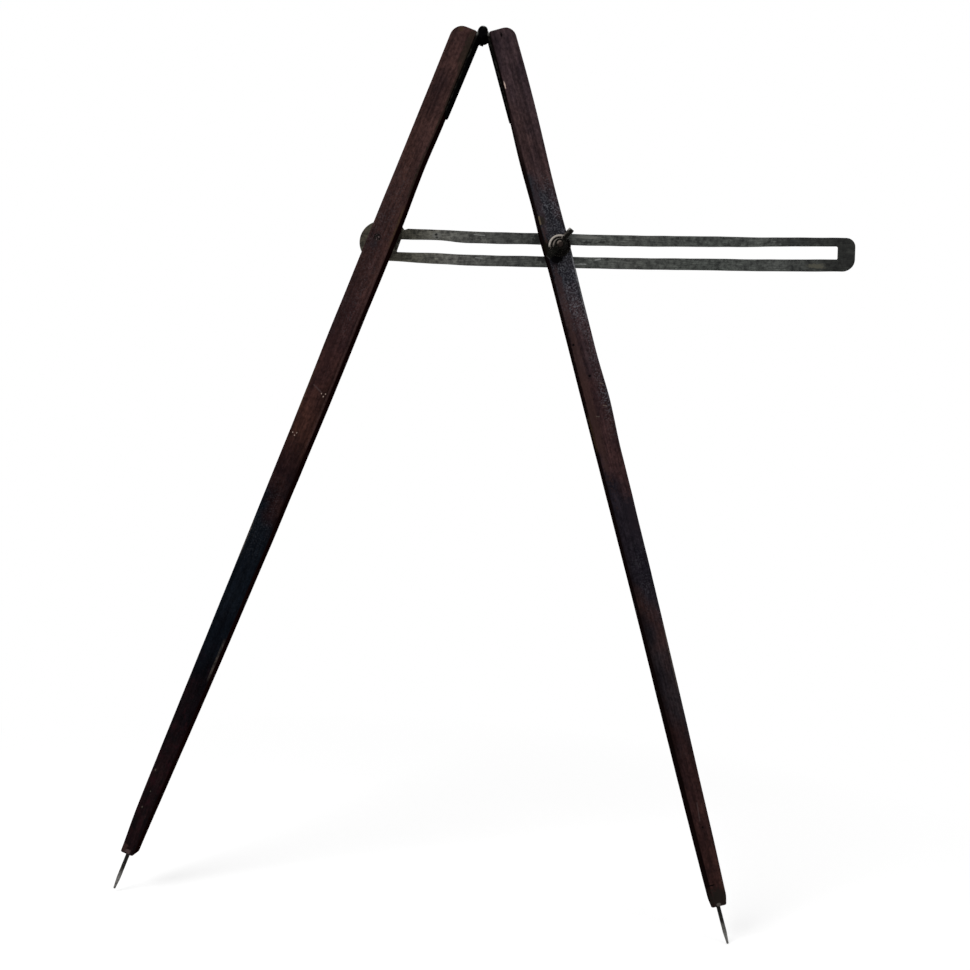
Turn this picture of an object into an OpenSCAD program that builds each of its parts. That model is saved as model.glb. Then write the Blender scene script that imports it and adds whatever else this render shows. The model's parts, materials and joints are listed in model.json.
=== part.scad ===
// Large wooden dividers: two hinged legs with steel points, held open by a slotted bar
// that a wing nut clamps. The origin is on the hinge axis, which runs front to back along Y.
// The front faces -Y, +X is to the right and +Z is up.

/* [Legs] */
// Angle of each leg from the vertical
half_spread = 18.4; // [10:0.2:30]
// Length of a leg's wood, from its square top to its foot
leg_l = 896; // [700:1:1000]
// Width of a leg across the front
leg_w = 24.5; // [21:0.5:30]
// Depth of a leg, front to back
leg_d = 25; // [21:0.5:30]
// Length below the hinge axis where the taper starts
taper_start = 480; // [300:5:600]
// Width of the left foot
left_foot_w = 15; // [11:0.5:18]
// Width of the right foot
right_foot_w = 16.5; // [12:0.5:19]
// Depth of a foot
foot_d = 24; // [18:0.5:26]
// Worn rounding of the long edges
edge_r = 1.6; // [0.8:0.1:2.4]
// Rounding of the outer corner at the top of a leg
top_corner_r = 11.5; // [5:0.5:14]

/* [Hinge] */
// Diameter of the hinge pin
hinge_pin_d = 5.6; // [5:0.1:7]
// Thickness of a leaf at its root
leaf_t = 2; // [1.6:0.1:2.4]
// Thickness of a leaf at its free end
leaf_end_t = 1.1; // [0.9:0.1:1.6]
// Depth of a leaf's thick root below the hinge axis
root_l = 6.6; // [5.5:0.1:8]
// Length of a leaf down the leg, from the hinge axis
leaf_l = 89; // [60:0.5:120]
// Number of screws in a leaf
screw_count = 4; // [3:1:5]
// Distance of the first leaf screw below the hinge axis
screw_down = 15; // [12:0.5:18]
// Diameter of a leaf screw's head
screw_head_d = 6.2; // [5:0.1:7]
// Length of a leaf screw
screw_l = 16; // [12:0.5:18]

/* [Points] */
// Diameter of a steel point
point_d = 4; // [3:0.1:6]
// Length of a point beyond the foot
point_out = 43; // [30:1:50]
// Length of a point inside the foot
point_in = 38; // [25:1:60]
// Distance of the right point inside the middle of its foot
right_point_in = 2.2; // [0:0.1:2.6]
// Length of the tapered end of a point
point_taper = 12; // [6:1:18]
// Diameter of the blunt tip
tip_d = 2.2; // [1:0.1:2.6]

/* [Slotted bar] */
// Distance of the bar's pivot below the hinge axis, along the left leg
pivot_down = 227; // [200:0.5:260]
// Distance of the clamp bolt below the hinge axis, along the right leg
clamp_down = 224.5; // [200:0.5:260]
// Distance of both holes outside the middle of their leg
hole_out = 3.2; // [0:0.2:4]
// Upward lean of the bar from the line between its pivot and the bolt
bar_lean = 1.6; // [1:0.1:1.7]
// Distance of the slot's middle line below the pivot
bar_drop = 3; // [2:0.1:4]
// Thickness of the bar
bar_t = 3; // [2:0.1:5]
// Width of the bar near its eye
bar_w = 34.5; // [31:0.5:38]
// Height of the far end above the slot's middle line
far_upper = 15; // [13:0.5:18]
// Depth of the far end below the slot's middle line
far_lower = 18.5; // [14:0.5:20]
// Width of the slot
slot_w = 13.2; // [13:0.1:15]
// Distance from the pivot to the near end of the slot
slot_start = 14; // [12:0.5:18]
// Distance from the pivot to the far end of the slot
slot_end = 460; // [400:1:520]
// Width of the land beyond the slot
end_land = 17; // [13:0.5:24]
// Radius of the eye around the pivot
eye_r = 21.5; // [19:0.5:24]
// Distance of the flat under the eye below the pivot
eye_flat = 18; // [16:0.5:19]
// Rounding of the upper far corner
end_upper_r = 9; // [4:0.5:12]
// Rounding of the lower far corner
end_lower_r = 12; // [4:0.5:14]

/* [Pivot rivet] */
// Diameter of the rivet
rivet_d = 4.2; // [3.5:0.1:5]
// Diameter of the rivet's round head behind the bar
rivet_head_d = 11; // [9:0.5:14]
// Outer diameter of the ring at the rivet's front end
burr_d = 6.2; // [5.8:0.1:7.2]
// Outer diameter of the washer behind the bar's eye
pivot_washer_d = 15; // [15:0.5:20]

/* [Clamp] */
// Diameter of the clamp bolt
bolt_d = 6.2; // [5:0.1:6.2]
// Size of the bolt's square head across the flats
bolt_head_w = 11; // [10:0.5:13]
// Diameter of the washer that bridges the slot
back_washer_d = 24; // [20:0.5:28]
// Diameter of the cupped washer under the wing nut
front_washer_d = 22; // [20:0.5:24]
// Span of the wing nut across its wings
wing_span = 32; // [26:0.5:36]
// Height of the wing nut's hub
hub_h = 9.5; // [8:0.5:12]
// Thickness of a wing
wing_t = 4.2; // [3:0.1:4.8]
// Turn of the wings from the horizontal
wing_turn = 54; // [0:1:180]

/* [Hidden] */
$fn = 64;

// Clearances: tight pieces, turning pieces, and pieces that pass each other
tight = 0.03;
running = 0.06;
loose = 0.3;

// Hinge: the leaf lies a little outside the barrel's tangent, flat on the wood
knuckle_r = hinge_pin_d / 2 + leaf_t;
leaf_out = 0.15;
inner_face = knuckle_r + leaf_out;
knuckle_gap = 0.2;
knuckle_l = leg_d / 3;
knuckle_room = knuckle_r + loose;
leaf_corner_r = 5;
root_over = 1.4;
root_gap = 0.5;
leaf_taper_from = root_l + 2;
pin_dome = 1;
screw_y = leg_d / 5;
screw_end = 9;
screw_pitch = (leaf_l - screw_down - screw_end) / (screw_count - 1);
screw_head_h = 1.5;
screw_d = 3.2;
screw_slot = 0.8;

// Points: a thinner tang is driven into the foot, up to the shoulder
tang_r = point_d / 2 - 0.4;

// Legs: the wood starts a little below the hinge axis
leg_top = 2;
leg_foot = leg_top + leg_l;
front_y = -leg_d / 2;
back_y = leg_d / 2;

// Holes across the legs, measured from the hinge axis
hole_x = inner_face + leg_w / 2 + hole_out;
pivot_pos = leg_place(hole_x, pivot_down, -1);
clamp_pos = leg_place(hole_x, clamp_down, 1);
bar_turn = atan2(clamp_pos[2] - pivot_pos[2], clamp_pos[0] - pivot_pos[0]) + bar_lean;

// Layers behind the legs
bar_back = back_y + bar_t;
washer_t = 1.6;
head_y = bar_back + washer_t;
eye_neck = 26;
far_flat = 14;
slot_near_r = 4;
slot_far_r = 1.5;

// Rivet and its ring, let into the front of the left leg
rivet_r = rivet_d / 2;
rivet_head_h = 3.2;
rivet_dome = 0.4;
burr_t = 1.2;
burr_sink = 0.5;

// Layers in front of the right leg
bolt_r = bolt_d / 2;
nut_y = front_y - washer_t;
cup_h = 1;
cup_wall = 2;
bolt_out = 2.5;
bolt_end = nut_y - hub_h - bolt_out;
bolt_chamfer = 0.8;
bolt_tip_r = bolt_r - bolt_chamfer;
bolt_head_h = 4.5;
bolt_l = head_y + bolt_head_h - bolt_end;
flange_r = bolt_r + 4;
flange_h = 2.4;
hub_top_r = bolt_r + 2.2;
wing_tip_r = 4.6;
wing_rise = 5.5;

wood = [0.20, 0.13, 0.12];
black_iron = [0.10, 0.10, 0.11];
grey_iron = [0.29, 0.29, 0.27];
steel = [0.45, 0.45, 0.44];
aged_metal = [0.33, 0.30, 0.25];

// A place on a leg: out from the hinge axis and down the leg, side -1 left or 1 right
function leg_place(out, down, side) = [
    side * (out * cos(half_spread) + down * sin(half_spread)),
    0,
    out * sin(half_spread) - down * cos(half_spread)
];

// Tilts what is drawn on an upright leg into the leg's place
module on_leg(side) {
    rotate([0, -side * half_spread, 0])
        children();
}

// A round rod along Y
module rod(r, y0, y1) {
    translate([0, y0, 0])
        rotate([-90, 0, 0])
            cylinder(r = r, h = y1 - y0);
}

// A flat plate of a given outline, standing across Y
module plate(y0, t) {
    translate([0, y0 + t, 0])
        rotate([90, 0, 0])
            linear_extrude(t)
                children();
}

// A flat ring across Y
module ring(outer_r, hole_r, y0, t) {
    difference() {
        rod(outer_r, y0, y0 + t);
        rod(hole_r, y0 - 1, y0 + t + 1);
    }
}

// A shallow dome on a round end, rising along +Z
module dome(r, h) {
    ball_r = (r * r + h * h) / (2 * h);
    intersection() {
        translate([0, 0, h - ball_r])
            sphere(ball_r);
        cylinder(r = r + 1, h = h + 1);
    }
}

// What is left outside a rounded corner that points to +X and +Y
module corner_cut(r) {
    difference() {
        translate([-r, -r])
            square(r + 1);
        translate([-r, -r])
            circle(r);
    }
}

// A box outline with round corners, centred on the X axis
module round_box(x0, x1, h, r) {
    translate([x0, r - h / 2])
        square([x1 - x0, h - 2 * r]);
    translate([x0 + r, -h / 2])
        square([x1 - x0 - 2 * r, h]);
    for (x = [x0 + r, x1 - r], y = [r - h / 2, h / 2 - r])
        translate([x, y])
            circle(r);
}

// One worn corner of a leg's end: a short post that narrows outward
module end_post(x, y, z, r_low, r_high) {
    translate([x, y, z])
        cylinder(r1 = r_low, r2 = r_high, h = edge_r, $fn = 24);
}

// The rounded outer corner at a leg's top, seen from the front
module top_corner(x) {
    translate([x, 0, -leg_top - top_corner_r]) {
        rod(top_corner_r - edge_r, front_y, back_y, $fn = 32);
        rod(top_corner_r, front_y + edge_r, back_y - edge_r, $fn = 32);
    }
}

// Four posts at the corners of a leg's section, from a left edge at x
module section_posts(x, w, d, z, r_low) {
    for (post_x = [x + edge_r, x + w - edge_r], s = [-1, 1])
        end_post(post_x, s * (d / 2 - edge_r), z, r_low, edge_r);
}

// The upright stick: an even upper part with a rounded outer corner, and below it a part that is
// straight along its left edge and tapered along its right edge
module stick(outer_x, inner_x, left_x, foot_w) {
    x_side = sign(outer_x - inner_x);
    hull() {
        top_corner(outer_x - x_side * top_corner_r);
        for (s = [-1, 1])
            end_post(
                inner_x + x_side * edge_r, s * (leg_d / 2 - edge_r), -leg_top - edge_r, edge_r, edge_r / 2
            );
        section_posts(left_x, leg_w, leg_d, -taper_start, edge_r);
    }
    hull() {
        section_posts(left_x, leg_w, leg_d, -taper_start, edge_r);
        section_posts(left_x, foot_w, foot_d, -leg_foot, edge_r / 2);
    }
}

// Axis of a foot's point, out from the hinge axis: the left foot is narrowed on its inner edge
// and the right foot on its outer edge
function foot_out(side) =
    side < 0 ? inner_face + leg_w - left_foot_w / 2 : inner_face + right_foot_w / 2 - right_point_in;

// Thickness of a leaf at a distance down the leg
function leaf_t_at(down) =
    leaf_t - (leaf_t - leaf_end_t) * (down - leaf_taper_from) / (leaf_l - leaf_taper_from);

// Place of a leaf screw: along Y and down the leg, in two staggered rows
function screw_place(i) = [(i % 2 == 0 ? -1 : 1) * screw_y, screw_down + i * screw_pitch];

// The socket of a leg's point
module point_socket(side) {
    translate([side * foot_out(side), 0, -leg_foot - 1])
        cylinder(r = tang_r + tight, h = point_in + 1);
}

module left_leg() {
    color(wood)
        on_leg(-1)
            difference() {
                stick(-inner_face - leg_w, -inner_face, -inner_face - leg_w, left_foot_w);
                point_socket(-1);
                mirror([1, 0, 0])
                    leaf_screw_places()
                        leaf_screw(tight);
                translate([-hole_x, 0, -pivot_down]) {
                    rod(rivet_r + tight, front_y - 1, back_y + 1);
                    rod(burr_d / 2 + tight, front_y - 1, front_y + burr_sink + burr_t);
                }
            }
}

module right_leg() {
    color(wood)
        on_leg(1)
            difference() {
                stick(inner_face + leg_w, inner_face, inner_face, right_foot_w);
                point_socket(1);
                leaf_screw_places()
                    leaf_screw(tight);
                translate([hole_x, 0, -clamp_down])
                    rod(bolt_r + tight, front_y - 1, back_y + 1);
            }
}

// A steel point: a tang in the foot, a straight shank and a tapered, blunt end
module steel_point(side) {
    on_leg(side)
        translate([side * foot_out(side), 0, -leg_foot])
            rotate_extrude()
                polygon([
                    [0, point_in],
                    [tang_r, point_in],
                    [tang_r, 0],
                    [point_d / 2, 0],
                    [point_d / 2, point_taper - point_out],
                    [tip_d / 2, tip_d / 4 - point_out],
                    [tip_d / 4, -point_out],
                    [0, -point_out]
                ]);
}

module left_point() {
    color(steel)
        steel_point(-1);
}

module right_point() {
    color(steel)
        steel_point(1);
}

// Front end and back end of each knuckle, from the front
function knuckle_span(i) = [front_y + i * knuckle_l, front_y + (i + 1) * knuckle_l];

// A countersunk screw along +X from the face of a leaf, grown by a clearance
module leaf_screw(room) {
    head_r = screw_head_d / 2 + room;
    shank_r = screw_d / 2 + room;
    rotate([0, 90, 0])
        rotate_extrude()
            polygon([
                [0, 0],
                [head_r, 0],
                [shank_r, screw_head_h],
                [shank_r, screw_l - screw_d],
                [0, screw_l + room]
            ]);
}

// The screws of a leaf in their places on an upright right leg
module leaf_screw_places() {
    for (i = [0 : screw_count - 1])
        translate([inner_face - leaf_t_at(screw_place(i)[1]), screw_place(i)[0], -screw_place(i)[1]])
            children();
}

// The thick root where a leaf is folded round the pin, under one of its knuckles
module leaf_root(i) {
    translate([-root_over, knuckle_span(i)[0] + root_gap, -root_l])
        cube([inner_face - leaf_t / 2 + root_over, knuckle_l - 2 * root_gap, root_l]);
}

// What the smith's hammer takes off a leaf's free face towards its end
module leaf_taper_cut() {
    plate(front_y - 1, leg_d + 2)
        polygon([
            [inner_face - leaf_t - 1, -leaf_taper_from],
            [inner_face - leaf_t, -leaf_taper_from],
            [inner_face - leaf_end_t, -leaf_l],
            [inner_face - leaf_end_t, -leaf_l - 1],
            [inner_face - leaf_t - 1, -leaf_l - 1]
        ]);
}

// One leaf on an upright right leg, with the knuckles listed in own and room for those in other
module hinge_leaf(own, other, bore_room) {
    difference() {
        union() {
            translate([inner_face - leaf_t, 0, 0])
                rotate([0, 90, 0])
                    linear_extrude(leaf_t)
                        difference() {
                            translate([0, -leg_d / 2])
                                square([leaf_l, leg_d]);
                            translate([leaf_l, leg_d / 2])
                                corner_cut(leaf_corner_r);
                            mirror([0, 1])
                                translate([leaf_l, leg_d / 2])
                                    corner_cut(leaf_corner_r);
                        }
            for (i = own) {
                rod(knuckle_r, knuckle_span(i)[0], knuckle_span(i)[1]);
                leaf_root(i);
            }
        }
        for (i = other)
            rod(knuckle_room, knuckle_span(i)[0] - knuckle_gap, knuckle_span(i)[1] + knuckle_gap);
        leaf_taper_cut();
        rod(hinge_pin_d / 2 + bore_room, front_y - 1, back_y + 1);
        leaf_screw_places()
            leaf_screw(tight);
    }
}

module left_hinge_leaf() {
    color(black_iron)
        on_leg(-1)
            mirror([1, 0, 0])
                hinge_leaf([0, 2], [1], tight);
}

module right_hinge_leaf() {
    color(black_iron)
        on_leg(1)
            hinge_leaf([1], [0, 2], running);
}

// The pin through the knuckles, with a low dome on each end
module hinge_pin() {
    color(steel) {
        rod(hinge_pin_d / 2, front_y, back_y);
        translate([0, back_y, 0])
            rotate([-90, 0, 0])
                dome(hinge_pin_d / 2, pin_dome);
        translate([0, front_y, 0])
            rotate([90, 0, 0])
                dome(hinge_pin_d / 2, pin_dome);
    }
}

// The slotted screws of a leaf
module leaf_screws() {
    leaf_screw_places()
        difference() {
            leaf_screw(0);
            translate([-1, -screw_head_d, -screw_slot / 2])
                cube([1 + screw_slot, 2 * screw_head_d, screw_slot]);
        }
}

module left_leaf_screws() {
    color(steel)
        on_leg(-1)
            mirror([1, 0, 0])
                leaf_screws();
}

module right_leaf_screws() {
    color(steel)
        on_leg(1)
            leaf_screws();
}

// The round eye, flat underneath
module bar_eye() {
    difference() {
        rod(eye_r, back_y, bar_back);
        translate([-eye_r - 1, back_y - 1, -2 * eye_r])
            cube([2 * eye_r + 2, bar_t + 2, 2 * eye_r - eye_flat]);
    }
}

// The bar, with its pivot at the origin and its slot along +X
module bar_blank() {
    bar_end = slot_end + end_land;
    near_top = bar_w / 2 - bar_drop;
    near_low = -bar_w / 2 - bar_drop;
    far_top = far_upper - bar_drop;
    far_low = -far_lower - bar_drop;
    neck_turn = atan2(near_top, eye_neck) + acos(eye_r / norm([eye_neck, near_top]));
    difference() {
        union() {
            bar_eye();
            plate(back_y, bar_t)
                polygon([
                    [0, -eye_flat],
                    [eye_r * cos(neck_turn), eye_r * sin(neck_turn)],
                    [eye_neck, near_top],
                    [bar_end - far_flat, far_top],
                    [bar_end, far_top],
                    [bar_end, far_low],
                    [bar_end - far_flat, far_low],
                    [2 * eye_neck, near_low]
                ]);
        }
        plate(back_y - 1, bar_t + 2)
            translate([bar_end, far_top])
                corner_cut(end_upper_r);
        plate(back_y - 1, bar_t + 2)
            translate([bar_end, far_low])
                mirror([0, 1])
                    corner_cut(end_lower_r);
        rod(rivet_r + running, back_y - 1, bar_back + 1);
    }
}

// The slot: round corners near the pivot, almost square ones at the far end
module bar_slot() {
    slot_mid = (slot_start + slot_end) / 2;
    translate([0, 0, -bar_drop]) {
        plate(back_y - 1, bar_t + 2)
            round_box(slot_start, slot_mid + slot_w, slot_w, slot_near_r);
        plate(back_y - 1, bar_t + 2)
            round_box(slot_mid, slot_end, slot_w, slot_far_r);
    }
}

module slotted_bar() {
    color(grey_iron)
        translate(pivot_pos)
            rotate([0, -bar_turn, 0])
                difference() {
                    bar_blank();
                    bar_slot();
                }
}

// The rivet: round head behind its washer, shank through bar and leg, low dome in front
module pivot_rivet() {
    color(steel)
        translate(pivot_pos) {
            rod(rivet_r, front_y + burr_sink, head_y + rivet_head_h / 2);
            translate([0, head_y, 0])
                rotate([-90, 0, 0])
                    dome(rivet_head_d / 2, rivet_head_h);
            translate([0, front_y + burr_sink, 0])
                rotate([90, 0, 0])
                    dome(rivet_r, rivet_dome);
        }
}

module pivot_burr() {
    color(black_iron)
        translate(pivot_pos)
            ring(burr_d / 2, rivet_r + tight, front_y + burr_sink, burr_t);
}

module pivot_back_washer() {
    color(grey_iron)
        translate(pivot_pos)
            ring(pivot_washer_d / 2, rivet_r + tight, bar_back, washer_t);
}

// The bolt: square head with chamfered corners behind the bar, chamfered end in front
module clamp_bolt() {
    color(aged_metal)
        translate(clamp_pos) {
            intersection() {
                rod(bolt_r, bolt_end, head_y + bolt_head_h / 2);
                translate([0, bolt_end, 0])
                    rotate([-90, 0, 0])
                        cylinder(r1 = bolt_tip_r, r2 = bolt_tip_r + bolt_l, h = bolt_l);
            }
            translate([0, head_y, 0])
                rotate([-90, -bar_turn, 0])
                    intersection() {
                        translate([-bolt_head_w / 2, -bolt_head_w / 2, 0])
                            cube([bolt_head_w, bolt_head_w, bolt_head_h]);
                        cylinder(r1 = bolt_head_w * 0.76, r2 = bolt_head_w * 0.55, h = bolt_head_h);
                    }
        }
}

module clamp_back_washer() {
    color(grey_iron)
        translate(clamp_pos)
            ring(back_washer_d / 2, bolt_r + tight, bar_back, washer_t);
}

// The washer under the nut: a shallow cup with its rim to the front
module clamp_front_washer() {
    color(grey_iron)
        translate(clamp_pos)
            difference() {
                rod(front_washer_d / 2, nut_y - cup_h, front_y);
                rod(front_washer_d / 2 - cup_wall, nut_y - cup_h - 1, nut_y);
                rod(bolt_r + running, nut_y - 1, front_y + 1);
            }
}

// One wing in the plane of the bolt's axis: x out from the axis, y up from the nut's base
module wing_outline() {
    tip_x = wing_span / 2 - wing_tip_r;
    hull() {
        translate([tip_x, hub_h + wing_rise - wing_tip_r])
            circle(wing_tip_r, $fn = 32);
        translate([flange_r - 2.4, flange_h + 1.8])
            circle(1.8, $fn = 32);
        translate([hub_top_r - 1.4, hub_h - 1.4])
            circle(1.2, $fn = 32);
    }
}

// The nut stands on +Z here and is turned to the front when it is placed
module wing_nut() {
    color(aged_metal)
        translate(clamp_pos + [0, nut_y, 0])
            rotate([90, 0, 0])
                rotate([0, 0, wing_turn])
                    difference() {
                        union() {
                            cylinder(r = flange_r, h = flange_h);
                            translate([0, 0, flange_h])
                                cylinder(r1 = flange_r - 0.8, r2 = hub_top_r, h = hub_h - flange_h);
                            for (turn = [0, 180])
                                rotate([0, 0, turn])
                                    translate([0, wing_t / 2, 0])
                                        rotate([90, 0, 0])
                                            linear_extrude(wing_t)
                                                wing_outline();
                        }
                        translate([0, 0, -1])
                            cylinder(r = bolt_r + running, h = hub_h + 2 * wing_rise);
                    }
}

left_leg();
right_leg();
left_point();
right_point();
left_hinge_leaf();
right_hinge_leaf();
hinge_pin();
left_leaf_screws();
right_leaf_screws();
slotted_bar();
pivot_rivet();
pivot_burr();
pivot_back_washer();
clamp_bolt();
clamp_back_washer();
clamp_front_washer();
wing_nut();
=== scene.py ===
import json
from collections import namedtuple
from math import acos, asin, atan2, cos, degrees, hypot, pi, radians, sin, sqrt

import bmesh
import bpy
from mathutils import Matrix, Vector, noise


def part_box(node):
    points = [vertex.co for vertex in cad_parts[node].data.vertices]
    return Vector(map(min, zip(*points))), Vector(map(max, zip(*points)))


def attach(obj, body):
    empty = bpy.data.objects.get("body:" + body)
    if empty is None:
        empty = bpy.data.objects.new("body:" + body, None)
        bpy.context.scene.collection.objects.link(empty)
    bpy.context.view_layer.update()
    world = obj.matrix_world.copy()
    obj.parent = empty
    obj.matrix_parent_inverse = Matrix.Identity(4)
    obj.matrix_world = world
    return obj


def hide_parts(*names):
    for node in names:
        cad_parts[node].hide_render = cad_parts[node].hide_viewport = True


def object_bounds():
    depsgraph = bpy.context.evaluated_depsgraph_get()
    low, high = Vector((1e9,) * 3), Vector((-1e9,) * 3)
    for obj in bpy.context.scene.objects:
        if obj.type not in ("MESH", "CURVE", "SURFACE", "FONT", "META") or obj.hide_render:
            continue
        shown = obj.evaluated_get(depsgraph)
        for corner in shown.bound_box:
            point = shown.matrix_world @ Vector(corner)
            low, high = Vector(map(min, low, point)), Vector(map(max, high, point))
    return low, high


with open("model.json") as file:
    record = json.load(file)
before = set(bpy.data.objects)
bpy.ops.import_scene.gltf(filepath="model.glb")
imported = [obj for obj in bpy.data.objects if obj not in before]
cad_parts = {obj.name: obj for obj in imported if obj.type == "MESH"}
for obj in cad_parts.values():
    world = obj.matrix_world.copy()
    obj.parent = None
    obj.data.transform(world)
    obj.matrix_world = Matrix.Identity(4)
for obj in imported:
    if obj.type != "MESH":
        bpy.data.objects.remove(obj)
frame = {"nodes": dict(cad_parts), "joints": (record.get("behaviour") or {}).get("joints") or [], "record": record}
cad_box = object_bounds()

# Driving sizes of the legs, in metres, as the solids have them
LEG_W = 0.0245
LEG_D = 0.025
LEG_TOP = 0.002
LEG_FOOT = 0.898
TAPER_START = 0.48
LEFT_FOOT_W = 0.015
RIGHT_FOOT_W = 0.0165
FOOT_D = 0.024
EDGE_R = 0.0016
LEFT_CORNER_R = 0.0125
RIGHT_CORNER_R = 0.011
INNER_FACE = 0.00495
FRONT_Y = -LEG_D / 2
BACK_Y = LEG_D / 2

# Wear of the feet: the left one's slanted end, lower at the back, and the right one's saw cut
LEFT_SLANT = 0.003
SLANT_REACH = 0.02
KERF_DOWN = 0.8757
KERF_L = 0.0065
KERF_HALF = 0.0006
KERF_DEEP = 0.0008

# Slotted bar, along its own length from the pivot
BAR_T = 0.003
BAR_SLIP = 0.00005
BAR_W = 0.0345
BAR_DROP = 0.003
BAR_LEAN = radians(1.6)
FAR_UPPER = 0.015
FAR_LOWER = 0.0185
FAR_FLAT = 0.014
SLOT_W = 0.0132
SLOT_PINCH = 0.0013
SLOT_NEAR_HIGH = 0.0203
SLOT_NEAR_LOW = 0.0168
SLOT_END = 0.46
BAR_END = 0.477
EYE_R = 0.0215
EYE_FLAT = 0.018
EYE_NECK = 0.026
NECK_NICK = 0.0011
SLOT_NEAR_R = 0.0012
SLOT_FAR_R = 0.0015
END_UPPER_R = 0.009
END_LOWER_R = 0.012
BAR_EDGE_R = 0.0006

# Hand work on the bar: length of its outlines' stretches, how far they wander, where the slot's
# narrower middle begins and ends, and the step at the neck (along from it, and in nicks up)
OUTLINE_STEP = 0.005
OUTER_WANDER = 0.0003
SLOT_WANDER = 0.00025
PINCH_RISE = (0.06, 0.09)
PINCH_FALL = (0.32, 0.42)
NECK_STEP = ((0.0015, 0.0), (-0.001, -1.0), (-0.0022, -1.0), (-0.0038, 1.2))

# Camera of the photograph: place, point aimed at, roll and focal length for a 970 pixel frame
CAMERA_AT = Vector((0.073178, -1.106973, -0.426336))
CAMERA_AIM = Vector((0.03254, 0.0, -0.44748))
CAMERA_ROLL = radians(3.969)
IMAGE_SIDE = 970
FOCAL_PX = 1102.88
SENSOR_W = 36.0

# Light level of the world on matt surfaces; lamps as name, place, size and watts
AMBIENT = 0.42
LAMP_AIM = Vector((0.05, 0, -0.42))
LAMPS = (
    ("key", Vector((-1.3, -1.9, 1.2)), 1.4, 34),
    ("fill", Vector((1.9, -1.6, 0.4)), 1.6, 10),
)

# Floor: half its side, its tone and lift, and how far out it keeps the shadow and is plain white
FLOOR_HALF = 30.0
FLOOR_TONE = (0.8, 0.8, 0.8, 1)
FLOOR_LIFT = 0.5
SHADOW_KEPT = 0.45
SHADOW_GONE = 0.9

# Softened edges of the solids that show: points this close are one, steps, and the least angle
WELD_NEAR = 0.00001
SOFT_STEPS = 2
SOFT_ANGLE = radians(35)

nodes = frame["nodes"]
mounts = {m["name"]: m for m in frame["record"]["mounts"]}
joints = {j["name"]: j for j in frame["joints"]}
point_axis = Vector(mounts["right_point"]["axis"])
HALF_SPREAD = atan2(point_axis.x, -point_axis.z)
PIVOT = Vector(joints["bar_swing"]["pos_m"])
CLAMP = Vector(joints["wing_nut_turn"]["pos_m"])
BAR_TURN = atan2(CLAMP.z - PIVOT.z, CLAMP.x - PIVOT.x) + BAR_LEAN


# Small tools

def link(obj):
    bpy.context.scene.collection.objects.link(obj)
    return obj


def mesh_object(name, bm, smooth_angle=40):
    """A new object from a bmesh, smooth except at sharper edges."""
    bmesh.ops.recalc_face_normals(bm, faces=bm.faces)
    mesh = bpy.data.meshes.new(name)
    bm.to_mesh(mesh)
    bm.free()
    mesh.shade_smooth()
    mesh.set_sharp_from_angle(angle=radians(smooth_angle))
    return link(bpy.data.objects.new(name, mesh))


def evaluated_mesh(obj):
    """The mesh that an object's modifiers or its curve make."""
    graph = bpy.context.evaluated_depsgraph_get()
    return bpy.data.meshes.new_from_object(obj.evaluated_get(graph))


def soften(node, width):
    """Rounds the edges of a solid's mesh a little, as handling does."""
    obj = nodes[node]
    weld = obj.modifiers.new("weld", "WELD")
    weld.merge_threshold = WELD_NEAR
    bevel = obj.modifiers.new("bevel", "BEVEL")
    bevel.width = width
    bevel.segments = SOFT_STEPS
    bevel.limit_method = "ANGLE"
    bevel.angle_limit = SOFT_ANGLE
    bevel.harden_normals = True
    return obj


def smoothstep(value, low, high):
    t = min(1.0, max(0.0, (value - low) / (high - low)))
    return t * t * (3 - 2 * t)


# Material tools

class Tree:
    """A tree of shader nodes, with short ways to add and feed them."""

    def __init__(self, tree):
        self.tree = tree

    def node(self, kind, inputs=(), **settings):
        made = self.tree.nodes.new("ShaderNode" + kind)
        for key, value in settings.items():
            setattr(made, key, value)
        for key, value in dict(inputs).items():
            self.feed(made.inputs[key], value)
        return made

    def feed(self, socket, value):
        if isinstance(value, bpy.types.NodeSocket):
            self.tree.links.new(value, socket)
        else:
            socket.default_value = value

    def vector(self, operation, a, b=(0, 0, 0)):
        made = self.node("VectorMath", {0: a, 1: b}, operation=operation)
        return made.outputs["Value" if operation in ("LENGTH", "DOT_PRODUCT") else "Vector"]

    def split(self, vector):
        return self.node("SeparateXYZ", {0: vector}).outputs

    def math(self, operation, a, b=0.0, clamp=False):
        return self.node("Math", {0: a, 1: b}, operation=operation, use_clamp=clamp).outputs[0]

    def times(self, a, b, clamp=False):
        return self.math("MULTIPLY", a, b, clamp)

    def plus(self, a, b):
        return self.math("ADD", a, b)

    def range(self, value, low, high, to_low=0.0, to_high=1.0):
        ends = {"From Min": low, "From Max": high, "To Min": to_low, "To Max": to_high}
        return self.node("MapRange", {"Value": value, **ends}).outputs[0]

    def vary(self, noise, low, high):
        """Spreads the middle of a noise over a range."""
        return self.range(noise, 0.3, 0.7, low, high)


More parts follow.
